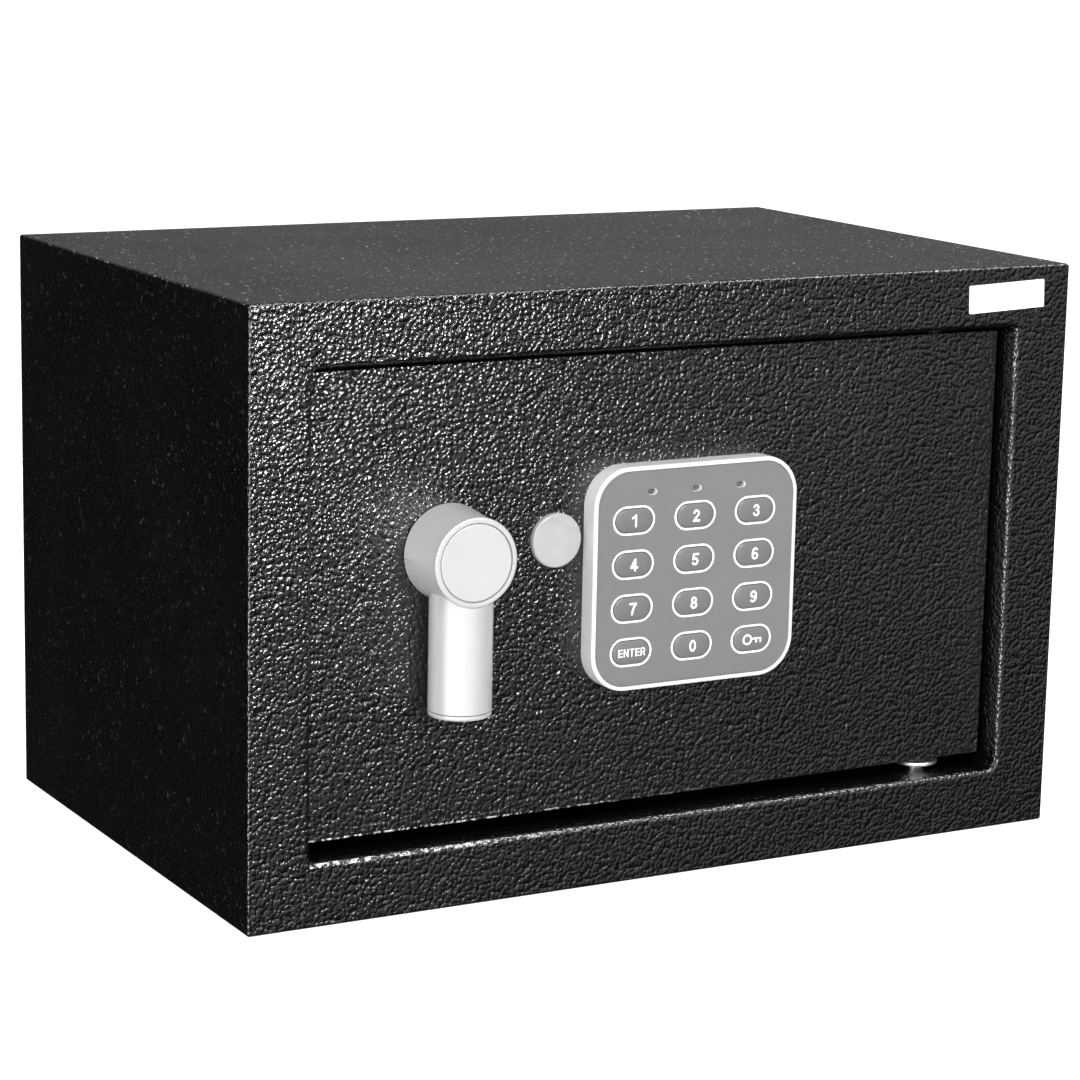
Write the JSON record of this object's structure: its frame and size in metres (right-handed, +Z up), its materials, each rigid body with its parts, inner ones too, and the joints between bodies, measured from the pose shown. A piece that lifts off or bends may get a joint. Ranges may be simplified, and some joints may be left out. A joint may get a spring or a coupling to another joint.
{
  "type": "electronic security safe",
  "caption": "Compact black steel electronic safe with a recessed hinged door, keypad, lever handle, throw bolts and a covered override lock.",
  "frame": {"origin": "centre of the steel box's underside", "axes": "+X to the right facing the door, +Y towards the back so the door faces -Y, +Z up"},
  "size_m": [0.31, 0.212, 0.2],
  "materials": {
    "black_coat": "textured black powder coat",
    "black_coat_front": "coarse orange-peel black powder coat",
    "carpet": "needle felt",
    "print_white": "satin white, for the blank foil label and the printed key marks",
    "plated_steel": "zinc plated",
    "hinge_chrome": "bright plated",
    "nylon": "natural nylon",
    "silver_plastic": "silver-white moulded rim",
    "keypad_grey": "fine brushed mid grey",
    "led_clear": "clear lens",
    "rubber_grey": "silicone",
    "circuit_green": "solder mask",
    "handle_silver": "fine satin silver",
    "handle_silver_cap": "satin disc",
    "coil_tape": "yellow coil tape",
    "lock_brass": "nickel brass",
    "cover_silver": "glossy silver",
    "black_plastic": "moulded black",
    "cell_wrap": "plain cell sleeve",
    "red_plastic": "red button",
    "wire_insulation": "insulated wire",
    "key_grey": "satin grey domed key"
  },
  "bodies": {
    "safe_box": {"body_shell": "black_coat", "front_frame": "black_coat_front", "back_panel": "black_coat", "carpet_mat": "carpet", "badge": "print_white", "hinge_pins": "plated_steel", "hinge_washers": "hinge_chrome"},
    "door": {"door_plate": "black_coat_front", "hinge_barrels": "black_coat", "door_pan": "black_coat", "standoffs": "plated_steel", "pan_screws": "plated_steel", "spindle_bush": "nylon", "carriage_guides": "plated_steel", "keypad_bezel": "silver_plastic", "keypad_face": "keypad_grey", "led_lenses": "led_clear", "key_mat": "rubber_grey", "keypad_pcb": "circuit_green", "keypad_screws": "plated_steel", "solenoid_frame": "plated_steel", "solenoid_coil": "coil_tape", "plunger_spring": "plated_steel", "lock_housing": "lock_brass", "lock_screws": "plated_steel", "battery_box": "black_plastic", "aa_cells": "cell_wrap", "battery_contacts": "plated_steel", "control_board": "circuit_green", "reset_switch": "black_plastic", "wiring": "wire_insulation"},
    "handle": {"handle_hub": "handle_silver", "handle_skirt": "handle_silver", "handle_cap": "handle_silver_cap", "handle_lever": "handle_silver", "lever_end_cap": "handle_silver", "spindle": "plated_steel", "spindle_clip": "plated_steel", "crank": "plated_steel"},
    "bolt_work": {"bolt_carriage": "plated_steel", "lock_bolts": "hinge_chrome"},
    "override_plug": {"lock_plug": "lock_brass", "lock_cam": "plated_steel"},
    "solenoid_plunger": {"plunger": "hinge_chrome"},
    "keyway_cover": {"key_cover": "cover_silver"},
    "battery_door": {"battery_lid": "black_plastic"},
    "reset_push": {"reset_button": "red_plastic"},
    "push_key_1": {"key_1": "key_grey"},
    "push_key_2": {"key_2": "key_grey"},
    "push_key_3": {"key_3": "key_grey"},
    "push_key_4": {"key_4": "key_grey"},
    "push_key_5": {"key_5": "key_grey"},
    "push_key_6": {"key_6": "key_grey"},
    "push_key_7": {"key_7": "key_grey"},
    "push_key_8": {"key_8": "key_grey"},
    "push_key_9": {"key_9": "key_grey"},
    "push_key_enter": {"key_enter": "key_grey"},
    "push_key_0": {"key_0": "key_grey"},
    "push_key_open": {"key_open": "key_grey"}
  },
  "joints": [
    {"name": "door_swing", "type": "hinge", "parent": "safe_box", "child": "door", "pos_m": [0.11, -0.0838, 0.1], "axis": [0, 0, 1], "range_deg": [0, 105]},
    {"name": "handle_turn", "type": "hinge", "parent": "door", "child": "handle", "pos_m": [-0.082, -0.1, 0.1164], "axis": [0, 1, 0], "range_deg": [0, 60]},
    {"name": "bolt_throw", "type": "slide", "parent": "door", "child": "bolt_work", "axis": [-1, 0, 0], "range_m": [0, 0.015]},
    {"name": "override_turn", "type": "hinge", "parent": "door", "child": "override_plug", "pos_m": [-0.043, -0.08, 0.117], "axis": [0, 1, 0], "range_deg": [0, 90]},
    {"name": "plunger_lift", "type": "slide", "parent": "door", "child": "solenoid_plunger", "axis": [0, 0, 1], "range_m": [0, 0.005], "deforming": ["plunger_spring"]},
    {"name": "keyway_cover_pull", "type": "slide", "parent": "door", "child": "keyway_cover", "axis": [0, -1, 0], "range_m": [0, 0.025]},
    {"name": "battery_door_pull", "type": "slide", "parent": "door", "child": "battery_door", "axis": [0, 1, 0], "range_m": [0, 0.025]},
    {"name": "reset_press", "type": "slide", "parent": "door", "child": "reset_push", "axis": [0, -1, 0], "range_m": [0, 0.0015], "stiffness_N_per_m": 800, "springref_m": -0.0005},
    {"name": "press_key_1", "type": "slide", "parent": "door", "child": "push_key_1", "axis": [0, 1, 0], "range_m": [0, 0.0005], "stiffness_N_per_m": 1500, "springref_m": -0.0004},
    {"name": "press_key_2", "type": "slide", "parent": "door", "child": "push_key_2", "axis": [0, 1, 0], "range_m": [0, 0.0005], "stiffness_N_per_m": 1500, "springref_m": -0.0004},
    {"name": "press_key_3", "type": "slide", "parent": "door", "child": "push_key_3", "axis": [0, 1, 0], "range_m": [0, 0.0005], "stiffness_N_per_m": 1500, "springref_m": -0.0004},
    {"name": "press_key_4", "type": "slide", "parent": "door", "child": "push_key_4", "axis": [0, 1, 0], "range_m": [0, 0.0005], "stiffness_N_per_m": 1500, "springref_m": -0.0004},
    {"name": "press_key_5", "type": "slide", "parent": "door", "child": "push_key_5", "axis": [0, 1, 0], "range_m": [0, 0.0005], "stiffness_N_per_m": 1500, "springref_m": -0.0004},
    {"name": "press_key_6", "type": "slide", "parent": "door", "child": "push_key_6", "axis": [0, 1, 0], "range_m": [0, 0.0005], "stiffness_N_per_m": 1500, "springref_m": -0.0004},
    {"name": "press_key_7", "type": "slide", "parent": "door", "child": "push_key_7", "axis": [0, 1, 0], "range_m": [0, 0.0005], "stiffness_N_per_m": 1500, "springref_m": -0.0004},
    {"name": "press_key_8", "type": "slide", "parent": "door", "child": "push_key_8", "axis": [0, 1, 0], "range_m": [0, 0.0005], "stiffness_N_per_m": 1500, "springref_m": -0.0004},
    {"name": "press_key_9", "type": "slide", "parent": "door", "child": "push_key_9", "axis": [0, 1, 0], "range_m": [0, 0.0005], "stiffness_N_per_m": 1500, "springref_m": -0.0004},
    {"name": "press_key_enter", "type": "slide", "parent": "door", "child": "push_key_enter", "axis": [0, 1, 0], "range_m": [0, 0.0005], "stiffness_N_per_m": 1500, "springref_m": -0.0004},
    {"name": "press_key_0", "type": "slide", "parent": "door", "child": "push_key_0", "axis": [0, 1, 0], "range_m": [0, 0.0005], "stiffness_N_per_m": 1500, "springref_m": -0.0004},
    {"name": "press_key_open", "type": "slide", "parent": "door", "child": "push_key_open", "axis": [0, 1, 0], "range_m": [0, 0.0005], "stiffness_N_per_m": 1500, "springref_m": -0.0004}
  ],
  "couplings": [
    {"joint": "bolt_throw", "follows": "handle_turn", "m_per_rad": 0.014323}
  ]
}
